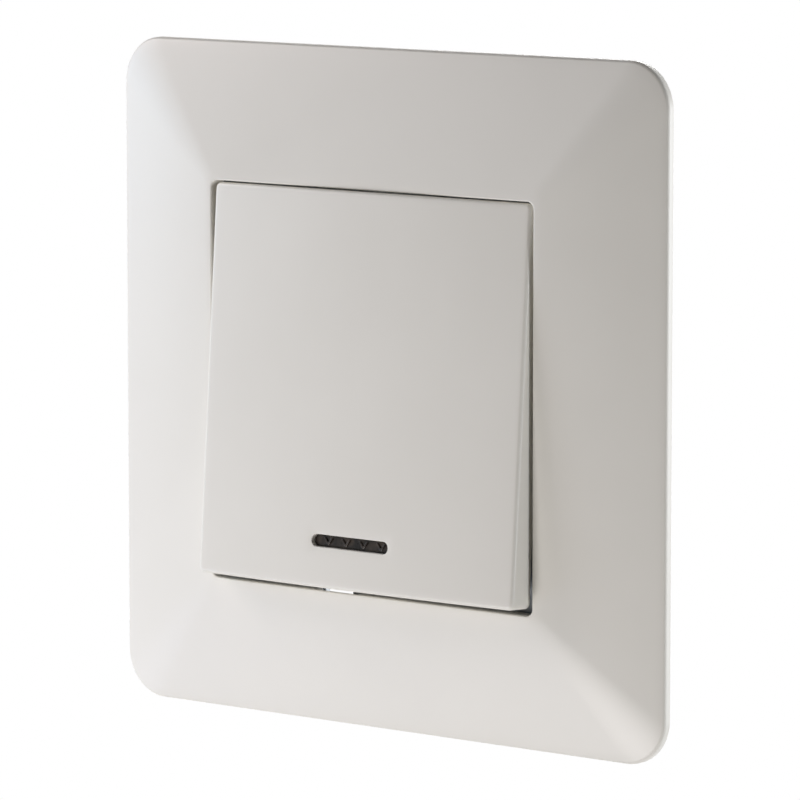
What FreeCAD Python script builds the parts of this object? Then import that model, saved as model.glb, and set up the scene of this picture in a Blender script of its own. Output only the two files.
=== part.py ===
import FreeCAD, Part
import math
import os

Vector = FreeCAD.Vector

# Push button light switch for a round flush wall box, millimetres.
# The pieces are drawn lying down: x to the right, y up the wall, z out of the wall towards the room, with z = 0
# on the wall. At the end every piece is stood up, so that the wall is the plane y = 0 and z points up.

# Cover frame
plate_side = 85.0
plate_corner_radius = 5.8
plate_edge_height = 1.1
plate_wall = 1.5
rim_height = 4.8
face_crown = 0.35
edge_break = 0.25
opening_side = 50.4
opening_corner_radius = 1.0
rim_break = 0.25
rim_lip_depth = 2.2
rim_lip_wall = 1.2
release_notch_length = 7.0
release_notch_x = -5.5
release_notch_rim = 0.9

# Snap legs behind the cover frame
leg_thickness = 1.4
leg_width = 5.0
leg_spread = 16.0
leg_inset = 0.2
leg_hook = 0.5
leg_hook_length = 1.3
leg_clearance = 0.25

# Mounting yoke
yoke_inset = 7.5
yoke_thickness = 1.0
yoke_corner_radius = 4.0
box_screw_spacing = 60.0
box_slot_width = 4.0
box_slot_length = 7.0
release_slot_length = 4.4
release_slot_width = 2.3
release_slot_x = -7.7
release_slot_lead = 0.3

# Rocker, with its sizes in the level pose
side_gap = 0.45
end_gap = 0.62
rocker_proud = 1.5
rocker_crown = 1.0
rocker_wall = 1.3
rocker_face_wall = 1.6
rocker_corner_radius = 0.6
rocker_edge_rounding = 0.35
skirt_clearance = 0.5
rocker_rib_wall = 1.2
rocker_rib_spacing = 18.0
rocker_rib_length = 26.0

# Rocking motion
rest_tilt = 4.2
press_travel = 7.0
pivot_height = 1.0
pin_radius = 1.0
pin_seat_clearance = 0.02
pin_running_clearance = 0.05

# Lens in the rocker's face
lens_length = 11.9
lens_width = 1.55
lens_y = -18.7
lens_clearance = 0.05
lens_recess = 0.9
lens_flange = 0.9
lens_flange_thickness = 0.8
prism_count = 4
prism_pitch = 2.65
prism_width = 1.5
prism_rise = 0.9
prism_line = 0.3
prism_height = 0.2

# Rocker cradle
cradle_width = 25.4
cradle_height = 28.0
cradle_thickness = 2.0
cradle_seat_depth = 1.1
cradle_corner_radius = 2.0
cheek_thickness = 3.0
cheek_width = 6.0
cheek_end_radius = 2.4
finger_reach = 3.5
finger_tip_radius = 1.2
finger_root = 4.0
finger_width = 5.0
finger_clearance = 0.1

# Clips that hold the rocker to the cradle
clip_spread_x = 14.0
clip_spread_y = 22.0
clip_width = 3.0
clip_thickness = 1.2
clip_hook = 0.6
clip_hook_length = 0.8
clip_clearance = 0.2

# Insert housing
base_inset = 2.2
base_depth = 23.0
base_wall = 2.0
base_floor = 2.0
base_corner_cut = 8.0
base_rear_chamfer = 0.8
cover_fit = 0.1
cover_flange = 1.5
cover_flange_thickness = 0.8
cover_wall = 1.5
cover_floor = 1.2
cover_recess = 2.6
ear_thickness = 3.0
ear_radius = 2.2
ear_gap = 0.3

# Housing screws
screw_shank_radius = 1.2
screw_head_radius = 2.2
screw_head_height = 1.6
screw_thread_clearance = 0.05
screw_hole_clearance = 0.15
screw_wall_distance = 7.4
screw_boss_radius = 3.0
screw_end_gap = 1.4
screw_drive_width = 0.6
screw_drive_depth = 0.8

# Contacts
strip_thickness = 0.8
strip_width = 3.8
strip_boss_gap = 0.1
strip_inner_end = 5.8
strip_overlap = 4.0
contact_tip_radius = 1.5
contact_tip_height = 0.6
contact_spacing = 16.0
contact_spare_gap = 0.05
bridge_length = 20.0
bridge_width = 3.6
bridge_thickness = 0.6
bridge_corner_radius = 0.9
support_rib = 2.0

# Contact carrier and its spring
carrier_width = 6.8
carrier_depth = 4.8
carrier_clearance = 0.15
carrier_below_bridge = 1.8
guide_wall = 1.2
guide_gap = 0.6
spigot_radius = 1.5
spigot_length = 2.5
spring_wire = 0.6
spring_clearance = 0.3
spring_turns = 3
spring_end_gap = 0.05

# Terminals
terminal_side = 7.0
terminal_height = 6.6
terminal_recess = 1.8
terminal_drop = 7.0
terminal_fit = 0.1
wire_bore_radius = 1.6
wire_hole_clearance = 0.3
clamp_shank_radius = 1.45
clamp_head_radius = 2.5
clamp_head_height = 1.4
clamp_tip_gap = 0.1

# Glow lamp
lamp_radius = 2.0
lamp_length = 10.0
lamp_tip_length = 1.6
lamp_tip_radius = 0.5
lamp_x = -3.5
lamp_wall_gap = 0.5
lamp_seat_clearance = 0.05
holder_thickness = 0.8
holder_margin = 0.9
saddle_thickness = 1.6
saddle_spacing = 6.0
lead_radius = 0.25
lead_spacing = 1.2
lead_run = 1.4
lamp_pin_radius = 0.5
lamp_pin_clearance = 0.1
lamp_pin_stand = 0.5
pin_tongue_width = 2.0
resistor_radius = 1.1
resistor_length = 4.4
resistor_neck = 2.7

# Places that follow from the sizes above
plate_half = plate_side / 2
opening_half = opening_side / 2
face_band = plate_half - opening_half
face_rise = rim_height - plate_edge_height
yoke_side = plate_side - 2 * yoke_inset
rocker_width = opening_side - 2 * side_gap
rocker_height = opening_side - 2 * end_gap
rocker_edge_z = rim_height + rocker_proud
rocker_peak_z = rocker_edge_z + rocker_crown
crown_radius = ((rocker_width / 2) ** 2 + rocker_crown ** 2) / (2 * rocker_crown)
rocker_under_z = rocker_peak_z - rocker_face_wall
cradle_front_z = rocker_under_z - cradle_seat_depth
cradle_back_z = cradle_front_z - cradle_thickness
pressed_tilt = press_travel - rest_tilt
pin_half_length = cradle_width / 2 + ear_gap + ear_thickness
base_side = opening_side - 2 * base_inset
base_half = base_side / 2
base_inner = base_side - 2 * base_wall
base_floor_z = base_floor - base_depth
inner_corner_cut = base_corner_cut - base_wall * (2 - math.sqrt(2))
cover_side = base_inner - 2 * cover_fit
cover_flange_z = yoke_thickness + cover_flange_thickness
cover_floor_z = -cover_recess
cover_back_z = cover_floor_z - cover_floor
screw_offset = base_half - screw_wall_distance
lever_arm = screw_offset - screw_boss_radius - strip_boss_gap - strip_width / 2
contact_y = -lever_arm
terminal_offset = base_half - terminal_recess - terminal_side / 2
terminal_top_z = base_floor_z + terminal_height
strip_top_z = terminal_top_z + strip_thickness
fixed_tip_z = strip_top_z + contact_tip_height


def finger_tip_z(tilt):
    """Lowest point of the cradle's finger when the rocker is tilted, positive towards pressed."""
    turn = math.radians(tilt)
    return pivot_height - lever_arm * math.sin(turn) - finger_reach * math.cos(turn) - finger_tip_radius


contact_stroke = finger_tip_z(-rest_tilt) - finger_tip_z(pressed_tilt)
moving_tip_z = fixed_tip_z + contact_stroke + contact_spare_gap
bridge_back_z = moving_tip_z + contact_tip_height
bridge_front_z = bridge_back_z + bridge_thickness
carrier_top_z = finger_tip_z(-rest_tilt) - finger_clearance
carrier_back_z = bridge_back_z - carrier_below_bridge
spring_radius = spigot_radius + spring_clearance + spring_wire / 2
lamp_y = lamp_radius + lamp_wall_gap - cover_side / 2 + cover_wall
lamp_z = cover_floor_z + holder_thickness + lamp_radius
lamp_end_x = lamp_x + lamp_length / 2
neutral_pin_x = lamp_end_x + lead_run
neutral_pin_y = lamp_y - lead_spacing / 2
load_pin_y = lamp_y + lead_spacing / 2
resistor_start_x = lamp_end_x + resistor_neck
resistor_end_x = resistor_start_x + resistor_length
load_pin_x = resistor_end_x + lead_run
lamp_pin_top_z = lamp_z + lead_radius + lamp_pin_stand
past = 1.0


def rounded_rectangle(width, height, radius, z):
    """Closed outline with four quarter-round corners."""
    edges = []
    ends = []
    for quarter in range(4):
        angle = quarter * math.pi / 2
        side_x = 1 if quarter in (0, 3) else -1
        side_y = 1 if quarter in (0, 1) else -1
        centre = Vector(side_x * (width / 2 - radius), side_y * (height / 2 - radius), z)
        points = [
            centre + Vector(math.cos(angle + step), math.sin(angle + step), 0) * radius
            for step in (0, math.pi / 4, math.pi / 2)
        ]
        edges.append(Part.Arc(*points).toShape())
        ends.append((points[0], points[2]))
    for quarter in range(4):
        edges.append(Part.LineSegment(ends[quarter][1], ends[(quarter + 1) % 4][0]).toShape())
    return Part.Wire(Part.__sortEdges__(edges))


def slab(width, height, radius, z_low, z_high):
    """Upright block with rounded corners, centred on the origin."""
    face = Part.Face(rounded_rectangle(width, height, radius, z_low))
    return face.extrude(Vector(0, 0, z_high - z_low))


def octagon(side, cut, z_low, z_high):
    """Square block with its four corners cut off."""
    half = side / 2
    flat = half - cut
    corners = [(half, -flat), (half, flat), (flat, half), (-flat, half)]
    corners += [(-x, -y) for x, y in corners]
    return outline_along_z(corners, z_low, z_high)


def outline_along_z(corners, z_low, z_high):
    """Straight-sided outline in x and y, raised from z_low to z_high."""
    points = [Vector(x, y, z_low) for x, y in corners]
    return Part.Face(Part.makePolygon(points + points[:1])).extrude(Vector(0, 0, z_high - z_low))


def outline_along_x(corners, x_low, x_high):
    """Straight-sided outline in y and z, drawn out along x."""
    points = [Vector(x_low, y, z) for y, z in corners]
    return Part.Face(Part.makePolygon(points + points[:1])).extrude(Vector(x_high - x_low, 0, 0))


def outline_along_y(corners, y_low, y_high):
    """Straight-sided outline in x and z, drawn out along y."""
    points = [Vector(x, y_low, z) for x, z in corners]
    return Part.Face(Part.makePolygon(points + points[:1])).extrude(Vector(0, y_high - y_low, 0))


def block(x_low, x_high, y_low, y_high, z_low, z_high):
    """Plain block between two corners."""
    return Part.makeBox(x_high - x_low, y_high - y_low, z_high - z_low, Vector(x_low, y_low, z_low))


def post(x, y, radius, z_low, z_high):
    """Round post that stands along z."""
    return Part.makeCylinder(radius, z_high - z_low, Vector(x, y, z_low))


def bar(y, z, radius, x_low, x_high):
    """Round bar that lies along x."""
    return Part.makeCylinder(radius, x_high - x_low, Vector(x_low, y, z), Vector(1, 0, 0))


def stadium(x, y, length, width, z_low, z_high):
    """Block with full-round ends, its length along x."""
    half = width / 2
    flat = length / 2 - half
    edges = []
    for side in (-1, 1):
        start = Vector(x + side * flat, y - side * half, z_low)
        end = Vector(x + side * flat, y + side * half, z_low)
        edges.append(Part.Arc(start, Vector(x + side * length / 2, y, z_low), end).toShape())
        edges.append(Part.LineSegment(end, Vector(x - side * flat, y + side * half, z_low)).toShape())
    return Part.Face(Part.Wire(Part.__sortEdges__(edges))).extrude(Vector(0, 0, z_high - z_low))


def both_sides(shape):
    """A piece and its mirror image across the middle."""
    return shape.fuse(shape.mirror(Vector(0, 0, 0), Vector(1, 0, 0)))


def turned(shape, degrees, x=0.0, y=0.0):
    """A piece turned about z and then moved to its place."""
    copy = shape.copy()
    copy.rotate(Vector(0, 0, 0), Vector(0, 0, 1), degrees)
    return copy.translated(Vector(x, y, 0))


def screw_places():
    """The two opposite corners where a screw holds the housing together."""
    return [(screw_offset, screw_offset), (-screw_offset, -screw_offset)]


def edges_where(shape, test):
    """The edges whose middle passes a test."""
    return [edge for edge in shape.Edges if test(edge.CenterOfMass, edge)]


def face_height(inset):
    """Height of the cover frame's face at a distance inside its outline."""
    share = inset / face_band
    return plate_edge_height + face_rise * share * (1 + face_crown * (1 - share))


def face_slope(inset):
    """Slope of the cover frame's face at a distance inside its outline."""
    return face_rise / face_band * (1 + face_crown * (1 - 2 * inset / face_band))


def frame_corner(inset):
    """Corner radius of the frame's outline at a distance inside it, tightening towards the opening."""
    return plate_corner_radius + (opening_corner_radius - plate_corner_radius) * inset / face_band


def face_profile():
    """Edge break, face and rim break as three curves, each with poles of inset and height."""
    low = edge_break
    high = face_band - rim_break
    middle = (low + high) / 2
    low_end = (low, face_height(low))
    high_end = (high, face_height(high))
    pull = (middle, face_height(low) + face_slope(low) * (middle - low))
    return [
        [(0.0, face_height(low) - edge_break), low_end],
        [low_end, pull, high_end],
        [high_end, (face_band, face_height(high) - rim_break)],
    ]


def patch(rows):
    """Curved patch on a grid of poles, each a point with its weight."""
    surface = Part.BezierSurface()
    surface.increase(len(rows) - 1, len(rows[0]) - 1)
    for u, row in enumerate(rows, 1):
        for v, (point, weight) in enumerate(row, 1):
            surface.setPole(u, v, point, weight)
    return surface.toShape()


def frame_patches(curve):
    """The eight patches that carry a curve of the profile along the frame's sides and round its corners."""
    side = []
    corner = []
    for inset, z in curve:
        half = plate_half - inset
        flat = half - frame_corner(inset)
        side.append([(Vector(half, -flat, z), 1.0), (Vector(half, flat, z), 1.0)])
        arc = [(half, flat, 1.0), (half, half, math.sqrt(0.5)), (flat, half, 1.0)]
        corner.append([(Vector(x, y, z), weight) for x, y, weight in arc])
    return [turned(patch(rows), turn) for rows in (side, corner) for turn in (0, 90, 180, 270)]


def frame_outline(inset):
    """Outline of the cover frame on the wall, at a distance inside its edge."""
    side = plate_side - 2 * inset
    return rounded_rectangle(side, side, frame_corner(inset), 0)


def frame_hollow():
    """Flat-sided hollow behind the frame's face, with its corners cut off."""
    corner_reach = plate_half * math.sqrt(2) - plate_corner_radius * (math.sqrt(2) - 1)
    opening_reach = opening_half * math.sqrt(2) - opening_corner_radius * (math.sqrt(2) - 1)
    top = rim_height - plate_wall
    cuts = []
    for low, high in ((plate_half - plate_wall, opening_half), (corner_reach - plate_wall, opening_reach)):
        foot = low + (low - high) * past / top
        corners = [(-foot, -past), (foot, -past), (high, top), (-high, top)]
        cuts.append(outline_along_x(corners, -plate_side, plate_side))
    hollow = cuts[0].common(turned(cuts[0], 90))
    return hollow.common(turned(cuts[1], 45)).common(turned(cuts[1], 135))


def snap_leg():
    """Leg behind the opening's right side that hooks behind the yoke."""
    inner = opening_half + leg_inset
    outer = inner + leg_thickness
    catch = -leg_clearance
    tip = catch - leg_hook_length
    profile = [
        (inner, rim_height - plate_wall),
        (inner, tip),
        (outer - leg_hook, tip),
        (outer + leg_hook, catch),
        (outer, catch),
        (outer, rim_height - plate_wall),
    ]
    return outline_along_y(profile, -leg_width / 2, leg_width / 2)


def release_notch():
    """Gap in the lower lip, through which a screwdriver reaches the yoke's release slot."""
    return block(
        release_notch_x - release_notch_length / 2,
        release_notch_x + release_notch_length / 2,
        -opening_half - rim_lip_wall,
        past - opening_half,
        0,
        rim_height - release_notch_rim,
    )


def cover_frame():
    """Moulded shell whose convex face rises from a thin edge to the opening's rim."""
    profile = face_profile()
    faces = [face for curve in profile for face in frame_patches(curve)]
    edge = frame_outline(0.0)
    opening = frame_outline(face_band)
    faces += edge.extrude(Vector(0, 0, profile[0][0][1])).Faces
    faces += opening.extrude(Vector(0, 0, profile[-1][-1][1])).Faces
    faces += Part.Face(edge).cut(Part.Face(opening)).Faces
    skin = Part.makeShell(faces)
    skin.sewShape()
    shell = Part.makeSolid(skin)
    shell = shell.cut(frame_hollow())
    lip_side = opening_side + 2 * rim_lip_wall
    lip_radius = opening_corner_radius + rim_lip_wall
    lip = slab(lip_side, lip_side, lip_radius, rim_height - rim_lip_depth, rim_height - plate_wall / 2)
    shell = shell.fuse(lip.cut(slab(opening_side, opening_side, opening_corner_radius, 0, rim_height)))
    shell = shell.cut(release_notch())
    for y in (-leg_spread / 2, leg_spread / 2):
        shell = shell.fuse(both_sides(snap_leg().translated(Vector(0, y, 0))))
    return shell.removeSplitter()


def box_slot(turn):
    """Slot for a wall-box screw, at half the screw spacing in one direction."""
    slot = stadium(box_screw_spacing / 2, 0, box_slot_length, box_slot_width, -past, yoke_thickness + past)
    return turned(slot, turn)


def mounting_yoke():
    """Stamped steel plate with the insert's window, box-screw slots and slots for the frame's legs."""
    plate = slab(yoke_side, yoke_side, yoke_corner_radius, 0, yoke_thickness)
    cuts = [octagon(base_inner, inner_corner_cut, -past, yoke_thickness + past)]
    cuts += [box_slot(turn) for turn in (0, 90, 180, 270)]
    slot_low = opening_half + leg_inset - leg_clearance
    slot_high = slot_low + leg_thickness + 2 * leg_clearance
    slot_half = leg_width / 2 + leg_clearance
    for y in (-leg_spread / 2, leg_spread / 2):
        slot = block(slot_low, slot_high, y - slot_half, y + slot_half, -past, yoke_thickness + past)
        cuts.append(both_sides(slot))
    release_y = release_slot_lead - opening_half - release_slot_width / 2
    cuts.append(
        block(
            release_slot_x - release_slot_length / 2,
            release_slot_x + release_slot_length / 2,
            release_y - release_slot_width / 2,
            release_y + release_slot_width / 2,
            -past,
            yoke_thickness + past,
        )
    )
    for cut in cuts:
        plate = plate.cut(cut)
    return plate


def crowned(drop):
    """Solid under the rocker's crowned face, lowered by a drop."""
    reach = rocker_width / 2 + past
    fall = crown_radius - math.sqrt(crown_radius ** 2 - reach ** 2)
    top = rocker_peak_z - drop
    ends = [Vector(-reach, 0, top - fall), Vector(reach, 0, top - fall)]
    feet = [Vector(reach, 0, 0), Vector(-reach, 0, 0)]
    edges = [Part.Arc(ends[0], Vector(0, 0, top), ends[1]).toShape()]
    edges.append(Part.LineSegment(ends[1], feet[0]).toShape())
    edges.append(Part.LineSegment(feet[0], feet[1]).toShape())
    edges.append(Part.LineSegment(feet[1], ends[0]).toShape())
    length = rocker_height + 2 * past
    profile = Part.Face(Part.Wire(edges)).translated(Vector(0, -length / 2, 0))
    return profile.extrude(Vector(0, length, 0))


def skirt_height(tilt):
    """Height of the skirt's edge, in the level pose, that clears the yoke when that end is pushed in."""
    turn = math.radians(tilt)
    sink = rocker_height / 2 * math.sin(turn)
    return pivot_height + (yoke_thickness + skirt_clearance - pivot_height + sink) / math.cos(turn)


def rocker_clip(side):
    """Hooked leg under the rocker that catches behind the cradle, on the upper or lower side."""
    inner = clip_spread_y / 2 - clip_thickness / 2
    outer = inner + clip_thickness
    catch = cradle_back_z - clip_clearance / 2
    profile = [
        (side * inner, rocker_under_z),
        (side * inner, catch - clip_hook_length),
        (side * outer, catch - clip_hook_length),
        (side * (outer + clip_hook), catch),
        (side * outer, catch),
        (side * outer, rocker_under_z),
    ]
    leg = outline_along_x(profile, clip_spread_x / 2 - clip_width / 2, clip_spread_x / 2 + clip_width / 2)
    return both_sides(leg)


def rocker():
    """Crowned push plate with a skirt, ribs that rest on the cradle, and four clips."""
    body = slab(rocker_width, rocker_height, rocker_corner_radius, 0, 2 * rocker_peak_z).common(crowned(0.0))
    front = edges_where(body, lambda c, e: e.BoundBox.ZMin > rim_height)
    body = body.makeFillet(rocker_edge_rounding, front)
    inside = slab(
        rocker_width - 2 * rocker_wall,
        rocker_height - 2 * rocker_wall,
        rocker_corner_radius,
        -past,
        2 * rocker_peak_z,
    )
    body = body.cut(inside.common(crowned(rocker_face_wall)))
    reach = rocker_height
    upper = skirt_height(rest_tilt)
    lower = skirt_height(pressed_tilt)
    slope = (upper - lower) / rocker_height
    middle = (upper + lower) / 2
    below = [(-reach, middle - slope * reach), (reach, middle + slope * reach), (reach, -reach), (-reach, -reach)]
    body = body.cut(outline_along_x(below, -reach, reach))
    rib = block(
        (rocker_rib_spacing - rocker_rib_wall) / 2,
        (rocker_rib_spacing + rocker_rib_wall) / 2,
        -rocker_rib_length / 2,
        rocker_rib_length / 2,
        cradle_front_z,
        rocker_under_z,
    )
    body = body.fuse(both_sides(rib))
    for side in (-1, 1):
        body = body.fuse(rocker_clip(side))
    slot = stadium(0, lens_y, lens_length, lens_width, 0, 2 * rocker_peak_z)
    return body.cut(slot)


def prism(x, z):
    """Raised V on the lens that spreads the lamp's light."""
    half = prism_width / 2
    top = prism_rise / 2
    lean = prism_line
    corners = [
        (x - half, lens_y + top),
        (x - half + lean, lens_y + top),
        (x, lens_y - top + lean),
        (x + half - lean, lens_y + top),
        (x + half, lens_y + top),
        (x + lean / 2, lens_y - top),
        (x - lean / 2, lens_y - top),
    ]
    return outline_along_z(corners, z - prism_height, z + prism_height)


def lens():
    """Clear window in the rocker's slot, with a flange behind the face and prisms in front."""
    fall = crown_radius - math.sqrt(crown_radius ** 2 - (lens_length / 2 + lens_flange) ** 2)
    flange_top = rocker_under_z - fall - lens_clearance
    front = rocker_peak_z - fall - lens_recess
    window = stadium(
        0, lens_y, lens_length - 2 * lens_clearance, lens_width - 2 * lens_clearance, flange_top - past / 2, front
    )
    flange = stadium(
        0,
        lens_y,
        lens_length + 2 * lens_flange,
        lens_width + 2 * lens_flange,
        flange_top - lens_flange_thickness,
        flange_top,
    )
    piece = window.fuse(flange)
    for index in range(prism_count):
        piece = piece.fuse(prism((index - (prism_count - 1) / 2) * prism_pitch, front))
    return piece


def hinge_cheek():
    """Cheek of the cradle round the pivot pin, on the right side."""
    outer = cradle_width / 2
    inner = outer - cheek_thickness
    half = cheek_width / 2
    web = [
        (-half, cradle_front_z - cradle_thickness / 2),
        (-cheek_end_radius, pivot_height),
        (cheek_end_radius, pivot_height),
        (half, cradle_front_z - cradle_thickness / 2),
    ]
    return outline_along_x(web, inner, outer).fuse(bar(0, pivot_height, cheek_end_radius, inner, outer))


def cradle_finger():
    """Tapered finger with a round tip that pushes the contact carrier."""
    tip_z = pivot_height - finger_reach
    web = [
        (contact_y - finger_root / 2, cradle_front_z - cradle_thickness / 2),
        (contact_y - finger_tip_radius, tip_z),
        (contact_y + finger_tip_radius, tip_z),
        (contact_y + finger_root / 2, cradle_front_z - cradle_thickness / 2),
    ]
    half = finger_width / 2
    return outline_along_x(web, -half, half).fuse(bar(contact_y, tip_z, finger_tip_radius, -half, half))


def rocker_cradle():
    """Moulded carrier under the rocker that turns on the pivot pin."""
    piece = slab(cradle_width, cradle_height, cradle_corner_radius, cradle_back_z, cradle_front_z)
    piece = piece.fuse(both_sides(hinge_cheek())).fuse(cradle_finger())
    half_x = clip_width / 2 + clip_clearance
    inner = clip_spread_y / 2 - clip_thickness / 2 - clip_hook - clip_clearance
    outer = clip_spread_y / 2 + clip_thickness / 2 + clip_clearance
    for side in (-1, 1):
        low, high = sorted((side * inner, side * outer))
        centre = clip_spread_x / 2
        window = block(centre - half_x, centre + half_x, low, high, cradle_back_z - past, cradle_front_z + past)
        piece = piece.cut(both_sides(window))
    bore_radius = pin_radius + pin_running_clearance
    return piece.cut(bar(0, pivot_height, bore_radius, -cradle_width, cradle_width)).removeSplitter()


def bearing_ear():
    """Ear of the switch cover that holds the pivot pin, on the right side."""
    inner = cradle_width / 2 + ear_gap
    outer = inner + ear_thickness
    foot = [
        (-ear_radius, cover_floor_z - cover_floor / 2),
        (-ear_radius, pivot_height),
        (ear_radius, pivot_height),
        (ear_radius, cover_floor_z - cover_floor / 2),
    ]
    return outline_along_x(foot, inner, outer).fuse(bar(0, pivot_height, ear_radius, inner, outer))


def pivot_pin():
    """Steel pin on which the cradle rocks."""
    return bar(0, pivot_height, pin_radius, -pin_half_length, pin_half_length)


def switch_cover():
    """Front half of the insert: a tray with bearing ears, a carrier guide and screw posts."""
    flange_side = base_inner + 2 * cover_flange
    cut = inner_corner_cut
    outline = octagon(cover_side, cut, cover_back_z, cover_flange_z)
    piece = octagon(flange_side, cut, yoke_thickness, cover_flange_z).fuse(outline)
    recess = octagon(cover_side - 2 * cover_wall, cut, cover_floor_z, cover_flange_z + past)
    piece = piece.cut(recess).fuse(both_sides(bearing_ear()))
    for x, y in screw_places():
        piece = piece.fuse(post(x, y, screw_boss_radius, cover_back_z, yoke_thickness).common(outline))
    guide_x = carrier_width / 2 + carrier_clearance
    guide_y = carrier_depth / 2 + carrier_clearance
    guide_end = bridge_front_z + guide_gap
    sleeve = block(
        -guide_x - guide_wall,
        guide_x + guide_wall,
        contact_y - guide_y - guide_wall,
        contact_y + guide_y + guide_wall,
        guide_end,
        cover_floor_z,
    )
    piece = piece.fuse(sleeve)
    piece = piece.cut(
        block(-guide_x, guide_x, contact_y - guide_y, contact_y + guide_y, guide_end - past, cover_floor_z + past)
    )
    hole_radius = screw_shank_radius + screw_thread_clearance
    for x, y in screw_places():
        piece = piece.cut(post(x, y, hole_radius, cover_back_z - past, yoke_thickness - screw_end_gap / 2))
    for x, y in ((neutral_pin_x, neutral_pin_y), (load_pin_x, load_pin_y)):
        piece = piece.cut(post(x, y, lamp_pin_radius + lamp_pin_clearance, cover_back_z - past, cover_floor_z + past))
    seat_radius = pin_radius + pin_seat_clearance
    return piece.cut(bar(0, pivot_height, seat_radius, -pin_half_length, pin_half_length)).removeSplitter()


def terminal_places():
    """Turn and place of each terminal, keyed by the conductor it takes."""
    return {
        "load": (0, terminal_offset, -terminal_drop),
        "line": (180, -terminal_offset, -terminal_drop),
        "neutral": (270, 0.0, -terminal_offset),
    }


def switch_base():
    """Rear half of the insert: a cup with screw bosses, terminal windows and wire entries."""
    body = octagon(base_side, base_corner_cut, -base_depth, 0)
    rear = edges_where(body, lambda c, e: c.z < 0.01 - base_depth)
    body = body.makeChamfer(base_rear_chamfer, rear)
    body = body.cut(octagon(base_inner, inner_corner_cut, base_floor_z, past))
    for x, y in screw_places():
        body = body.fuse(post(x, y, screw_boss_radius, base_floor_z - base_floor / 2, cover_back_z))
    rib_x = contact_spacing / 2
    rib_y = strip_width / 2
    rib = block(
        rib_x - support_rib / 2,
        rib_x + support_rib / 2,
        contact_y - rib_y,
        contact_y + rib_y,
        base_floor_z - base_floor / 2,
        terminal_top_z,
    )
    body = body.fuse(both_sides(rib))
    body = body.fuse(post(0, contact_y, spigot_radius, base_floor_z - base_floor / 2, base_floor_z + spigot_length))
    window_half = terminal_side / 2 + terminal_fit
    window = block(
        terminal_side / 2 - terminal_recess,
        terminal_side / 2 + terminal_recess + past,
        -window_half,
        window_half,
        base_floor_z,
        terminal_top_z + terminal_fit,
    )
    mouth = post(0, 0, wire_bore_radius + wire_hole_clearance, -base_depth - past, base_floor_z + past)
    for turn, x, y in terminal_places().values():
        body = body.cut(turned(window, turn, x, y)).cut(turned(mouth, turn, x, y))
    for x, y in screw_places():
        body = body.cut(post(x, y, screw_shank_radius + screw_hole_clearance, -base_depth - past, past))
        head_seat = screw_head_height + screw_hole_clearance - base_depth
        body = body.cut(post(x, y, screw_head_radius + screw_hole_clearance, -base_depth - past, head_seat))
    return body


def housing_screws():
    """Two slotted screws from the rear that clamp base, yoke and cover together."""
    seat = screw_head_height + screw_hole_clearance - base_depth
    head_low = seat - screw_head_height
    screws = []
    for x, y in screw_places():
        head = post(x, y, screw_head_radius, head_low, seat)
        drive = block(
            x - screw_head_radius,
            x + screw_head_radius,
            y - screw_drive_width / 2,
            y + screw_drive_width / 2,
            head_low - past,
            head_low + screw_drive_depth,
        )
        shank = post(x, y, screw_shank_radius, seat, yoke_thickness - screw_end_gap)
        screws.append(head.cut(drive).fuse(shank))
    return Part.makeCompound(screws)


def contact_carrier():
    """Sliding plunger that holds the contact bridge and sits on the return spring."""
    half_x = carrier_width / 2
    half_y = carrier_depth / 2
    body = block(-half_x, half_x, contact_y - half_y, contact_y + half_y, carrier_back_z, carrier_top_z)
    body = body.fuse(post(0, contact_y, spigot_radius, carrier_back_z - spigot_length, carrier_back_z))
    slot_y = bridge_width / 2
    return body.cut(
        block(-bridge_length, bridge_length, contact_y - slot_y, contact_y + slot_y, bridge_back_z, bridge_front_z)
    )


def contact_bridge():
    """Brass strip that joins the two fixed contacts when the rocker is pressed."""
    strip = slab(bridge_length, bridge_width, bridge_corner_radius, bridge_back_z, bridge_front_z)
    return strip.translated(Vector(0, contact_y, 0))


def contact_tips(z_low):
    """Pair of silver contact buttons."""
    height = contact_tip_height
    return Part.makeCompound(
        [post(side * contact_spacing / 2, contact_y, contact_tip_radius, z_low, z_low + height) for side in (-1, 1)]
    )


def return_spring():
    """Coil spring of square wire between the carrier and the base's floor."""
    half = spring_wire / 2
    low = base_floor_z + half + spring_end_gap
    high = carrier_back_z - half - spring_end_gap
    helix = Part.makeHelix((high - low) / spring_turns, high - low, spring_radius)
    corners = [(-half, -half), (half, -half), (half, half), (-half, half)]
    points = [Vector(spring_radius + x, 0, z) for x, z in corners]
    coil = Part.Wire(helix).makePipeShell([Part.makePolygon(points + points[:1])], True, True)
    return coil.translated(Vector(0, contact_y, low))


def contact_strip():
    """Stamped strip from the right fixed contact to its terminal block."""
    end = terminal_offset - terminal_side / 2 + strip_overlap
    half = strip_width / 2
    return block(strip_inner_end, end, contact_y - half, contact_y + half, terminal_top_z, strip_top_z)


def fixed_contact_line():
    """Fixed contact on the line side."""
    return contact_strip().mirror(Vector(0, 0, 0), Vector(1, 0, 0))


def fixed_contact_load():
    """Fixed contact on the load side, with a tongue for the lamp's pin."""
    half = pin_tongue_width / 2
    low = load_pin_y - half
    tongue = block(load_pin_x - half, load_pin_x + half, low, contact_y, terminal_top_z, strip_top_z)
    return contact_strip().fuse(tongue).removeSplitter()


def terminal_block():
    """Brass block with a wire bore from the rear and a clamp-screw hole from the outside."""
    half = terminal_side / 2
    body = block(-half, half, -half, half, base_floor_z, terminal_top_z)
    body = body.cut(post(0, 0, wire_bore_radius, base_floor_z - past, terminal_top_z + past))
    hole_radius = clamp_shank_radius + screw_thread_clearance
    return body.cut(bar(0, base_floor_z + terminal_height / 2, hole_radius, 0, half + past))


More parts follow.
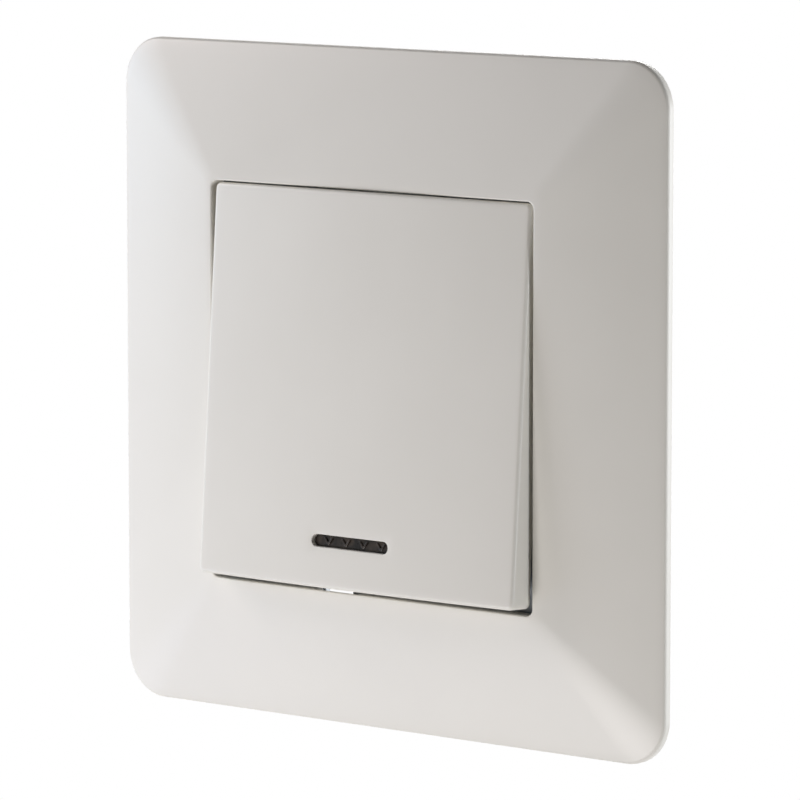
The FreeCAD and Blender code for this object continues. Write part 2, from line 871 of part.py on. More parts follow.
def clamp_screw():
    """Slotted screw that clamps a wire in its terminal block, backed off the bore."""
    half = terminal_side / 2
    z = base_floor_z + terminal_height / 2
    shank = bar(0, z, clamp_shank_radius, wire_bore_radius + clamp_tip_gap, half)
    head = bar(0, z, clamp_head_radius, half, half + clamp_head_height)
    drive = block(
        half + clamp_head_height - screw_drive_depth,
        half + clamp_head_height + past,
        -clamp_head_radius,
        clamp_head_radius,
        z - screw_drive_width / 2,
        z + screw_drive_width / 2,
    )
    return head.cut(drive).fuse(shank)


def lamp_holder():
    """Moulded carrier of the glow lamp, with two saddles and holes for its pins."""
    left = lamp_x - lamp_length / 2
    right = load_pin_x + holder_margin
    low = lamp_y - lamp_radius - lamp_wall_gap / 2
    high = lamp_y + lamp_radius + lamp_wall_gap / 2
    floor_z = cover_floor_z
    top = floor_z + holder_thickness
    piece = block(left, right, low, high, floor_z, top)
    for side in (-1, 1):
        centre = lamp_x + side * saddle_spacing / 2
        half = saddle_thickness / 2
        piece = piece.fuse(block(centre - half, centre + half, low, high, top, lamp_z))
    cushion = lamp_radius + lamp_seat_clearance
    piece = piece.cut(bar(lamp_y, lamp_z, cushion, left - past, lamp_end_x + past))
    for x, y in ((neutral_pin_x, neutral_pin_y), (load_pin_x, load_pin_y)):
        piece = piece.cut(post(x, y, lamp_pin_radius + lamp_pin_clearance, floor_z - past, top + past))
    return piece


def neon_lamp():
    """Glass tube of the glow lamp, drawn to a tip at one end."""
    tip_x = lamp_x - lamp_length / 2
    profile = [
        (tip_x, 0.0),
        (tip_x, lamp_tip_radius),
        (tip_x + lamp_tip_length, lamp_radius),
        (lamp_end_x, lamp_radius),
        (lamp_end_x, 0.0),
    ]
    points = [Vector(x, lamp_y, lamp_z + r) for x, r in profile]
    half_section = Part.Face(Part.makePolygon(points + points[:1]))
    return half_section.revolve(Vector(0, lamp_y, lamp_z), Vector(1, 0, 0), 360)


def lamp_leads():
    """Three tinned wires: lamp to pin, lamp to resistor, resistor to pin."""
    runs = [
        (neutral_pin_y, lamp_end_x, neutral_pin_x - lamp_pin_radius),
        (load_pin_y, lamp_end_x, resistor_start_x),
        (load_pin_y, resistor_end_x, load_pin_x - lamp_pin_radius),
    ]
    return Part.makeCompound([bar(y, lamp_z, lead_radius, start, end) for y, start, end in runs])


def ballast_resistor():
    """Small resistor in series with the lamp."""
    return bar(load_pin_y, lamp_z, resistor_radius, resistor_start_x, resistor_end_x)


def tilted(shape):
    """A rocking piece turned from the level pose to rest, with its lower edge out."""
    copy = shape.copy()
    copy.rotate(Vector(0, 0, pivot_height), Vector(1, 0, 0), -rest_tilt)
    return copy


def pieces():
    """Every piece by its name, lying down in the wall's frame."""
    made = {
        "cover_frame": cover_frame(),
        "mounting_yoke": mounting_yoke(),
        "rocker": tilted(rocker()),
        "lens": tilted(lens()),
        "rocker_cradle": tilted(rocker_cradle()),
        "pivot_pin": pivot_pin(),
        "switch_cover": switch_cover(),
        "switch_base": switch_base(),
        "housing_screws": housing_screws(),
        "contact_carrier": contact_carrier(),
        "contact_bridge": contact_bridge(),
        "moving_contact_tips": contact_tips(moving_tip_z),
        "return_spring": return_spring(),
        "fixed_contact_line": fixed_contact_line(),
        "fixed_contact_load": fixed_contact_load(),
        "fixed_contact_tips": contact_tips(strip_top_z),
        "lamp_holder": lamp_holder(),
        "neon_lamp": neon_lamp(),
        "lamp_leads": lamp_leads(),
        "lamp_pin_neutral": post(
            neutral_pin_x, neutral_pin_y, lamp_pin_radius, terminal_top_z, lamp_pin_top_z
        ),
        "lamp_pin_load": post(load_pin_x, load_pin_y, lamp_pin_radius, strip_top_z, lamp_pin_top_z),
        "ballast_resistor": ballast_resistor(),
    }
    places = terminal_places()
    for name, place in places.items():
        made["terminal_block_" + name] = turned(terminal_block(), *place)
    made["terminal_screws"] = Part.makeCompound([turned(clamp_screw(), *place) for place in places.values()])
    return made


os.makedirs("parts", exist_ok=True)
for name, shape in pieces().items():
    standing = shape.copy()
    standing.rotate(Vector(0, 0, 0), Vector(1, 0, 0), 90)
    standing.exportStep("parts/" + name + ".step")
print("stroke of the contact carrier", round(contact_stroke, 4))
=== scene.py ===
"""Looks of a push button light switch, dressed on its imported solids."""

import logging
import math
from collections.abc import Mapping, Sequence
from dataclasses import dataclass, field
from enum import Enum
from typing import ClassVar

import bmesh
import bpy
from mathutils import Matrix, Vector


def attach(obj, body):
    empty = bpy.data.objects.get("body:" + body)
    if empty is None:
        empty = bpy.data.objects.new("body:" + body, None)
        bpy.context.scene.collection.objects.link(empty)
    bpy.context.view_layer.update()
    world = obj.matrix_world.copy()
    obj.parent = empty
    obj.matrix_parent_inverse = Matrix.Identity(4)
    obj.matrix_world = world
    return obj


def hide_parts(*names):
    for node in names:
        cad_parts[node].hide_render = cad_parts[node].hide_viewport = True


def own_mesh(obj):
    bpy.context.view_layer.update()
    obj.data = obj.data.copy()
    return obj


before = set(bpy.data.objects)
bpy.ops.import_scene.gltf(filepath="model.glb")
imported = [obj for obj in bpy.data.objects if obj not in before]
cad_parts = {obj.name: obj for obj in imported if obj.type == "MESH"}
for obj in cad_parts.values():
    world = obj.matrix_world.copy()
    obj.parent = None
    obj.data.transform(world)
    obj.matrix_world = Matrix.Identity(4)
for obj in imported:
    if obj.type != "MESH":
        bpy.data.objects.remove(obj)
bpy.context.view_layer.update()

LOG = logging.getLogger("light_switch")
MM = 0.001
# Corners of a solid's triangles that lie closer than this are one point.
WELD_MM = 0.001
# Pieces are shaped lying down in millimetres: x right, y up the wall, z out towards the room.
STAND_UP = Matrix.Rotation(math.pi / 2, 4, "X") @ Matrix.Scale(MM, 4)
# Bevels with this profile follow a circle.
CIRCULAR = 0.5
# An edge is a rectangle's straight side if it takes up at least this share of it.
STRAIGHT_SHARE = 0.9
# Loops at one level would be joined crosswise, so a loop is lifted by this while it is joined.
LIFT = Vector((0, 0, 20))
# A bar's ends are nearly half rounds: their corner radius stays just under half its width.
END_SHARE = 0.47
# Steps round each of the bar's corners, and points added on each of its long sides.
END_STEPS = 9
SIDE_CUTS = 16
# Steps round an edge that is only softened.
SOFT_STEPS = 2
# A cut counts corners that lie closer than this to its plane as on it.
CUT_SNAP_MM = 1e-4
# The edges of a closed line.
Loop = list[bmesh.types.BMEdge]


class Carrier(Enum):
    """The groups of the switch that drawn pieces ride on."""

    INSERT = "insert_body"
    ROCKER = "rocker_body"


class Rounded(Enum):
    """What a rounding takes off, by Blender's names."""

    CORNERS = "VERTICES"
    EDGES = "EDGES"


class Slot(Enum):
    """The record's names for the materials of drawn pieces."""

    WHITE = "white_plastic"
    LENS = "smoked_lens"
    HOUSING = "housing_plastic"
    STEEL = "zinc_steel"


def linear(colour: str) -> tuple[float, float, float, float]:
    """Turns an sRGB hex colour into linear light.

    Args:
        colour: Six hex digits after a hash sign.

    Returns:
        Red, green, blue and an alpha of one.
    """
    parts = [int(colour[i : i + 2], 16) / 255 for i in (1, 3, 5)]
    red, green, blue = (c / 12.92 if c <= 0.04045 else ((c + 0.055) / 1.055) ** 2.4 for c in parts)
    return red, green, blue, 1.0


def add_node(
    tree: bpy.types.NodeTree,
    kind: str,
    settings: Mapping[str, object],
    links: Mapping[str, bpy.types.NodeSocket],
) -> bpy.types.Node:
    """Adds a node with its settings and its links.

    Args:
        tree: The material's or world's nodes.
        kind: Blender's name for the node.
        settings: Values of sockets and options by name.
        links: Sockets of other nodes by the name of the input that they feed.

    Returns:
        The new node.
    """
    node = tree.nodes.new(kind)
    for name, value in settings.items():
        if name in node.inputs:
            node.inputs[name].default_value = value
        else:
            setattr(node, name, value)
    for name, socket in links.items():
        tree.links.new(socket, node.inputs[name])
    return node


def looked_at(tree: bpy.types.NodeTree) -> bpy.types.NodeSocket:
    """Tells the rays that bring a picture to the camera from those that only carry light.

    Args:
        tree: The material's or world's nodes.

    Returns:
        A socket that is one for what the camera sees straight, mirrored or through glass.
    """
    path = add_node(tree, "ShaderNodeLightPath", {}, {}).outputs
    shine = add_node(tree, "ShaderNodeMath", {"operation": "MAXIMUM"}, {})
    seen = add_node(tree, "ShaderNodeMath", {"operation": "MAXIMUM"}, {})
    tree.links.new(path["Is Glossy Ray"], shine.inputs[0])
    tree.links.new(path["Is Transmission Ray"], shine.inputs[1])
    tree.links.new(path["Is Camera Ray"], seen.inputs[0])
    tree.links.new(shine.outputs["Value"], seen.inputs[1])
    return seen.outputs["Value"]


def per_metre(size_mm: float) -> float:
    """Scale of a pattern on Object coordinates that repeats at a size in millimetres."""
    return 1 / (size_mm * MM)


def object_place(tree: bpy.types.NodeTree) -> bpy.types.NodeSocket:
    """Object coordinates, in metres, for a material's patterns."""
    return add_node(tree, "ShaderNodeTexCoord", {}, {}).outputs["Object"]


def clouds(
    tree: bpy.types.NodeTree, place: bpy.types.NodeSocket, size_mm: float, detail: float
) -> bpy.types.NodeSocket:
    """Adds a noise pattern.

    Args:
        tree: The material's nodes.
        place: The coordinates that the pattern follows.
        size_mm: Size of its largest clouds.
        detail: How many layers of finer clouds lie over them.

    Returns:
        The pattern's value, from 0 to 1.
    """
    settings = {"Scale": per_metre(size_mm), "Detail": detail}
    return add_node(tree, "ShaderNodeTexNoise", settings, {"Vector": place}).outputs["Fac"]


def tint(
    tree: bpy.types.NodeTree,
    shader: bpy.types.Node,
    pattern: bpy.types.NodeSocket,
    tones: tuple[str, str],
    span: tuple[float, float],
) -> None:
    """Lets a pattern mix the shader's colour from two tones.

    Args:
        tree: The material's nodes.
        shader: Its Principled shader.
        pattern: The pattern's value.
        tones: Hex colours at the pattern's low and high end.
        span: The pattern's values where each tone is pure.
    """
    ramp = add_node(tree, "ShaderNodeValToRGB", {}, {"Fac": pattern})
    for stop, tone, position in zip(ramp.color_ramp.elements, tones, span):
        stop.position = position
        stop.color = linear(tone)
    tree.links.new(ramp.outputs["Color"], shader.inputs["Base Color"])


def gloss(
    tree: bpy.types.NodeTree,
    shader: bpy.types.Node,
    pattern: bpy.types.NodeSocket,
    roughness: tuple[float, float],
    span: tuple[float, float] = (0.0, 1.0),
) -> None:
    """Lets a pattern change the shader's roughness.

    Args:
        tree: The material's nodes.
        shader: Its Principled shader.
        pattern: The pattern's value.
        roughness: Roughness at the pattern's low and high end.
        span: The pattern's values where each of them is reached.
    """
    settings = {
        "From Min": span[0],
        "From Max": span[1],
        "To Min": roughness[0],
        "To Max": roughness[1],
    }
    spread = add_node(tree, "ShaderNodeMapRange", settings, {"Value": pattern})
    tree.links.new(spread.outputs["Result"], shader.inputs["Roughness"])


def relief(
    tree: bpy.types.NodeTree,
    shader: bpy.types.Node,
    pattern: bpy.types.NodeSocket,
    depth_mm: float,
    strength: float = 1.0,
) -> None:
    """Lets a pattern bend the light as a fine relief would.

    Args:
        tree: The material's nodes.
        shader: Its Principled shader.
        pattern: The pattern's value.
        depth_mm: Height of the relief.
        strength: Share of the bend that is used.
    """
    settings = {"Strength": strength, "Distance": depth_mm * MM}
    bump = add_node(tree, "ShaderNodeBump", settings, {"Height": pattern})
    tree.links.new(bump.outputs["Normal"], shader.inputs["Normal"])


@dataclass(frozen=True)
class Finish:
    """A surface: its name, its colour, and how it takes light."""

    name: str
    colour: str
    roughness: float

    def material(self) -> bpy.types.Material:
        """Gives this finish's material, made once.

        Returns:
            The material with all its nodes.
        """
        made = bpy.data.materials.get(self.name)
        if made is None:
            made = bpy.data.materials.new(self.name)
            made.use_nodes = True
            self.draw(made.node_tree, made.node_tree.nodes["Principled BSDF"])
        return made

    def draw(self, tree: bpy.types.NodeTree, shader: bpy.types.Node) -> None:
        """Sets the shader and adds the finish's patterns.

        Args:
            tree: The material's nodes.
            shader: Its Principled shader.
        """
        shader.inputs["Base Color"].default_value = linear(self.colour)
        shader.inputs["Roughness"].default_value = self.roughness


@dataclass(frozen=True)
class MouldedPlastic(Finish):
    """Injection-moulded plastic from a spark-eroded tool."""

    shade: str
    grain_mm: float
    grain_depth_mm: float
    flow_mm: float
    roughness_spread: float
    ior: float = 1.5
    flow_detail: float = 3.0
    flow_span: tuple[float, float] = (0.3, 0.7)
    grain_detail: float = 2.0

    def draw(self, tree: bpy.types.NodeTree, shader: bpy.types.Node) -> None:
        """Sets a satin skin with a fine even grain and faint flow clouds.

        Args:
            tree: The material's nodes.
            shader: Its Principled shader.
        """
        super().draw(tree, shader)
        shader.inputs["IOR"].default_value = self.ior
        place = object_place(tree)
        # The melt's flow leaves broad clouds that barely change colour and gloss.
        flow = clouds(tree, place, self.flow_mm, self.flow_detail)
        tint(tree, shader, flow, (self.shade, self.colour), self.flow_span)
        spread = (self.roughness - self.roughness_spread, self.roughness + self.roughness_spread)
        gloss(tree, shader, flow, spread, self.flow_span)
        # The tool's erosion pits give the satin sparkle, drawn coarser than the real 0.05 mm.
        grain = clouds(tree, place, self.grain_mm, self.grain_detail)
        relief(tree, shader, grain, self.grain_depth_mm)


@dataclass(frozen=True)
class SmokedAcrylic(Finish):
    """Dark tinted acrylic, polished in front."""

    deep: str
    haze_mm: float
    sheen: float
    ior: float = 1.49
    haze_detail: float = 4.0
    haze_span: tuple[float, float] = (0.4, 0.6)
    haze_dulling: float = 2.0

    def draw(self, tree: bpy.types.NodeTree, shader: bpy.types.Node) -> None:
        """Sets a deep, glassy dark skin with clouds of smoke and a trace of haze.

        Args:
            tree: The material's nodes.
            shader: Its Principled shader.
        """
        super().draw(tree, shader)
        shader.inputs["IOR"].default_value = self.ior
        shader.inputs["Specular IOR Level"].default_value = self.sheen
        haze = clouds(tree, object_place(tree), self.haze_mm, self.haze_detail)
        tint(tree, shader, haze, (self.deep, self.colour), self.haze_span)
        gloss(tree, shader, haze, (self.roughness, self.haze_dulling * self.roughness))


@dataclass(frozen=True)
class Metal(Finish):
    """Sheet or turned metal with rolling lines and a mottled coat."""

    dull: str
    mottle_mm: float
    line_mm: float
    line_depth_mm: float
    mottle_detail: float = 5.0
    mottle_span: tuple[float, float] = (0.32, 0.68)
    gloss_range: tuple[float, float] = (1.35, 0.75)
    line_detail: float = 2.0
    line_stretch: float = 40.0

    def draw(self, tree: bpy.types.NodeTree, shader: bpy.types.Node) -> None:
        """Sets a metal whose colour and gloss are mottled, with fine lines from rolling.

        Args:
            tree: The material's nodes.
            shader: Its Principled shader.
        """
        super().draw(tree, shader)
        shader.inputs["Metallic"].default_value = 1.0
        place = object_place(tree)
        mottle = clouds(tree, place, self.mottle_mm, self.mottle_detail)
        tint(tree, shader, mottle, (self.dull, self.colour), self.mottle_span)
        dulled, shined = self.gloss_range
        gloss(tree, shader, mottle, (self.roughness * dulled, self.roughness * shined))
        # Rolling draws the lines out along z.
        drawn_out = {"Scale": (1.0, 1.0, 1 / self.line_stretch)}
        rolled = add_node(tree, "ShaderNodeMapping", drawn_out, {"Vector": place})
        lines = clouds(tree, rolled.outputs["Vector"], self.line_mm, self.line_detail)
        relief(tree, shader, lines, self.line_depth_mm)


@dataclass(frozen=True)
class LampGlass(Finish):
    """Thin blown glass of the glow lamp."""

    ripple_mm: float
    ior: float = 1.5
    clearness: float = 0.9
    ripple_detail: float = 2.0
    ripple_depth_mm: float = 0.02
    ripple_strength: float = 0.3

    def draw(self, tree: bpy.types.NodeTree, shader: bpy.types.Node) -> None:
        """Sets clear glass with a slow ripple from blowing.

        Args:
            tree: The material's nodes.
            shader: Its Principled shader.
        """
        super().draw(tree, shader)
        shader.inputs["IOR"].default_value = self.ior
        shader.inputs["Transmission Weight"].default_value = self.clearness
        ripple = clouds(tree, object_place(tree), self.ripple_mm, self.ripple_detail)
        relief(tree, shader, ripple, self.ripple_depth_mm, self.ripple_strength)


@dataclass(frozen=True)
class FloorPaper(Finish):
    """Matt studio paper that pictures show brighter than the lamps make it."""

    glow: float

    def draw(self, tree: bpy.types.NodeTree, shader: bpy.types.Node) -> None:
        """Sets plain matt paper, with a glow that lights nothing else.

        Args:
            tree: The material's nodes.
            shader: Its Principled shader.
        """
        super().draw(tree, shader)
        paper = shader.outputs["BSDF"]
        glow = add_node(tree, "ShaderNodeEmission", {"Strength": self.glow}, {})
        lit = add_node(tree, "ShaderNodeAddShader", {}, {})
        tree.links.new(paper, lit.inputs[0])
        tree.links.new(glow.outputs["Emission"], lit.inputs[1])
        seen = add_node(tree, "ShaderNodeMixShader", {}, {"Fac": looked_at(tree)})
        tree.links.new(paper, seen.inputs[1])
        tree.links.new(lit.outputs["Shader"], seen.inputs[2])
        tree.links.new(seen.outputs["Shader"], tree.nodes["Material Output"].inputs["Surface"])


# Warm white ABS blend with a satin skin: soft wide highlights and a creamy tone in its shade.
WHITE_ABS = MouldedPlastic(
    name="warm_white_abs_satin",
    colour="#E7E4DB",
    roughness=0.4,
    shade="#E5E2D9",
    grain_mm=0.16,
    grain_depth_mm=0.0035,
    flow_mm=14.0,
    roughness_spread=0.025,
)
# Grey glass-filled nylon: duller and rougher than the cover, with cloudy flow marks.
GREY_NYLON = MouldedPlastic(
    name="grey_glass_filled_nylon",
    colour="#8C8C87",
    roughness=0.55,
    shade="#80807C",
    grain_mm=0.3,
    grain_depth_mm=0.012,
    flow_mm=5.0,
    roughness_spread=0.05,
)
# Baked lacquer of a resistor: tan and glossy.
TAN_LACQUER = MouldedPlastic(
    name="tan_resistor_lacquer",
    colour="#C49A6C",
    roughness=0.3,
    shade="#B98E60",
    grain_mm=0.25,
    grain_depth_mm=0.004,
    flow_mm=1.5,
    roughness_spread=0.04,
)
# Smoked acrylic: nearly black with brown clouds, and the clear gloss of a polished window.
SMOKED_ACRYLIC = SmokedAcrylic(
    name="smoked_acrylic_polished",
    colour="#3A322B",
    roughness=0.2,
    deep="#0E0B09",
    haze_mm=1.4,
    sheen=0.25,
)
# Zinc-plated steel sheet: cool silver with a cloudy passivated coat.
ZINC_STEEL = Metal(
    name="zinc_plated_steel",
    colour="#9EA1A3",
    roughness=0.42,
    dull="#888B8C",
    mottle_mm=2.5,
    line_mm=0.12,
    line_depth_mm=0.002,
)
# Spring steel wire: brighter and smoother than the sheet, from drawing.
SPRING_STEEL = Metal(
    name="drawn_spring_steel",
    colour="#A9ABAD",
    roughness=0.28,
    dull="#97999B",
    mottle_mm=0.8,
    line_mm=0.08,
    line_depth_mm=0.001,
)
# Stamped brass: warm yellow with faint tarnish.
BRASS = Metal(
    name="stamped_brass",
    colour="#D1B06B",
    roughness=0.3,
    dull="#BF9A55",
    mottle_mm=1.6,
    line_mm=0.1,
    line_depth_mm=0.0015,
)
# Silver contact alloy: pale and soft, slightly frosted.
SILVER = Metal(
    name="silver_contact_alloy",
    colour="#DEDEDA",
    roughness=0.3,
    dull="#CFCFCA",
    mottle_mm=0.6,
    line_mm=0.08,
    line_depth_mm=0.001,
)
# Tinned copper wire: grey silver, a little dull.
TIN = Metal(
    name="tinned_copper_wire",
    colour="#C4C5C6",
    roughness=0.36,
    dull="#B2B3B5",
    mottle_mm=0.5,
    line_mm=0.06,
    line_depth_mm=0.001,
)
# Clear lamp glass: see-through with soft, wavering reflections.
CLEAR_GLASS = LampGlass(name="blown_lamp_glass", colour="#F2EEE8", roughness=0.04, ripple_mm=1.2)
# Pale paper of the studio floor: an even near-white with no gloss.
PALE_PAPER = FloorPaper(name="pale_matt_paper", colour="#F4F4F3", roughness=0.9, glow=0.75)


def run_along(edge: bmesh.types.BMEdge, axis: int) -> float:
    """How far an edge runs along an axis."""
    return abs(edge.verts[0].co[axis] - edge.verts[1].co[axis])


def round_off(
    bm: bmesh.types.BMesh,
    geom: Sequence[bmesh.types.BMVert] | Sequence[bmesh.types.BMEdge],
    radius: float,
    steps: int,
    what: Rounded,
) -> None:
    """Rounds corners or edges.

    Args:
        bm: The mesh in the making.
        geom: The vertices or edges to round.
        radius: How far the rounding reaches.
        steps: Number of steps round it.
        what: Whether corners or edges are rounded.
    """
    bmesh.ops.bevel(
        bm,
        geom=geom,
        offset=radius,
        offset_type="OFFSET",
        segments=steps,
        profile=CIRCULAR,
        affect=what.value,
        material=-1,
    )


def rectangle(
    bm: bmesh.types.BMesh,
    size: tuple[float, float],
    level: float,
    centre: tuple[float, float],
    segments: int,
) -> list[bmesh.types.BMVert]:
    """Adds a level rectangle that is divided evenly.

    Args:
        bm: The mesh in the making.
        size: Width and height.
        level: Height of the rectangle.
        centre: Its middle.
        segments: Divisions along each side.

    Returns:
        Its vertices.
    """
    place = Matrix.Translation((*centre, level)) @ Matrix.Diagonal((*size, 1.0, 1.0))
    # A grid is twice its size wide, so this is a unit square before it is stretched.
    made = bmesh.ops.create_grid(
        bm, x_segments=segments, y_segments=segments, size=0.5, matrix=place
    )
    return made["verts"]


def ring(
    bm: bmesh.types.BMesh,
    size: tuple[float, float],
    radius: float,
    level: float,
    steps: int,
    cuts: tuple[int, int] = (0, 0),
    centre: tuple[float, float] = (0.0, 0.0),
) -> Loop:
    """Adds a loop of edges round a rectangle with rounded corners.

    Args:
        bm: The mesh in the making.
        size: Width and height.
        radius: Corner radius.
        level: Height of the loop.
        steps: Edges in each corner.
        cuts: Points added on each straight along x and along y.
        centre: Middle of the loop.

    Returns:
        The loop's edges.
    """
    before = set(bm.edges)
    corners = rectangle(bm, size, level, centre, 1)
    round_off(bm, corners, radius, steps, Rounded.CORNERS)
    for axis, count in enumerate(cuts):
        long = (size[axis] - 2 * radius) * STRAIGHT_SHARE
        straight = [e for e in bm.edges if e not in before and run_along(e, axis) > long]
        if count:
            bmesh.ops.bisect_edges(bm, edges=straight, cuts=count)
    loop = [e for e in bm.edges if e not in before]
    filling = list({f for e in loop for f in e.link_faces})
    bmesh.ops.delete(bm, geom=filling, context="FACES_ONLY")
    return loop


def skin(bm: bmesh.types.BMesh, loops: Sequence[Loop]) -> None:
    """Joins each loop to the next with faces.

    Args:
        bm: The mesh in the making.
        loops: Loops of edges in order.
    """
    for low, high in zip(loops, loops[1:]):
        verts = list({v for e in high for v in e.verts})
        bmesh.ops.translate(bm, vec=LIFT, verts=verts)
        bmesh.ops.bridge_loops(bm, edges=low + high)
        bmesh.ops.translate(bm, vec=-LIFT, verts=verts)


def round_ended(
    bm: bmesh.types.BMesh, size: tuple[float, float], level: float, centre_y: float
) -> Loop:
    """Adds a loop of edges round a bar with round ends.

    Args:
        bm: The mesh in the making.
        size: Length and width.
        level: Height of the loop.
        centre_y: Its middle, on the upright middle line.

    Returns:
        The loop's edges.
    """
    radius = END_SHARE * size[1]
    return ring(bm, size, radius, level, END_STEPS, (SIDE_CUTS, 0), (0.0, centre_y))


def prism(
    bm: bmesh.types.BMesh,
    outline: Sequence[tuple[float, float, float]],
    along: Vector,
    soften: float,
) -> None:
    """Adds a straight-sided outline, drawn out and with softened edges.

    Args:
        bm: The mesh in the making.
        outline: The corners in order.
        along: How far the outline is drawn out.
        soften: Width of the bevel on its edges.
    """
    before = set(bm.verts)
    face = bm.faces.new([bm.verts.new(corner) for corner in outline])
    grown = bmesh.ops.extrude_face_region(bm, geom=[face], use_keep_orig=True)["geom"]
    far_end = [v for v in grown if isinstance(v, bmesh.types.BMVert)]
    bmesh.ops.translate(bm, vec=along, verts=far_end)
    edges = list({e for v in bm.verts if v not in before for e in v.link_edges})
    round_off(bm, edges, soften, SOFT_STEPS, Rounded.EDGES)


def quarter(radius: float, steps: int) -> list[tuple[float, float]]:
    """Gives a quarter round as pairs of run and drop, from an upright wall to a level face.

    Args:
        radius: Radius of the rounding.
        steps: Number of steps.

    Returns:
        How far in from the wall and how far under the face each point lies.
    """
    turns = [math.pi / 2 * step / steps for step in range(steps + 1)]
    return [(radius * (1 - math.cos(t)), radius * (1 - math.sin(t))) for t in turns]


@dataclass(frozen=True)
class Label:
    """Where a piece belongs: its name, its solids, its carrier, its slot and its finish."""

    name: str
    nodes: tuple[str, ...]
    carrier: Carrier
    slot: Slot
    finish: Finish


def cast(
    bm: bmesh.types.BMesh, label: Label, place: Matrix, crease_deg: float
) -> bpy.types.Object:
    """Makes a piece of the switch from a finished shape.

    Args:
        bm: The shape, which is used up.
        label: Where the piece belongs.
        place: Moves the shape to its place in the wall's frame.
        crease_deg: Edges that turn by more than this stay sharp.

    Returns:
        The piece, riding on its carrier.
    """
    bmesh.ops.transform(bm, matrix=place, verts=bm.verts)
    bmesh.ops.recalc_face_normals(bm, faces=bm.faces)
    mesh = bpy.data.meshes.new(label.name)
    bm.to_mesh(mesh)
    bm.free()
    mesh.shade_smooth()
    mesh.set_sharp_from_angle(angle=math.radians(crease_deg))
    mesh.materials.append(label.finish.material())
    piece = bpy.data.objects.new(label.name, mesh)
    bpy.context.scene.collection.objects.link(piece)
    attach(piece, label.carrier.value)
    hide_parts(*label.nodes)
    LOG.info("%s: %d faces", label.name, len(mesh.polygons))
    return piece


def merged_copy(node: str) -> bmesh.types.BMesh:
    """Copies a solid's mesh and joins its loose triangles.

    Args:
        node: The solid's name.

    Returns:
        The copy, in the wall's frame.
    """
    bm = bmesh.new()
    bm.from_mesh(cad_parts[node].data)
    bmesh.ops.remove_doubles(bm, verts=bm.verts, dist=WELD_MM * MM)
    return bm


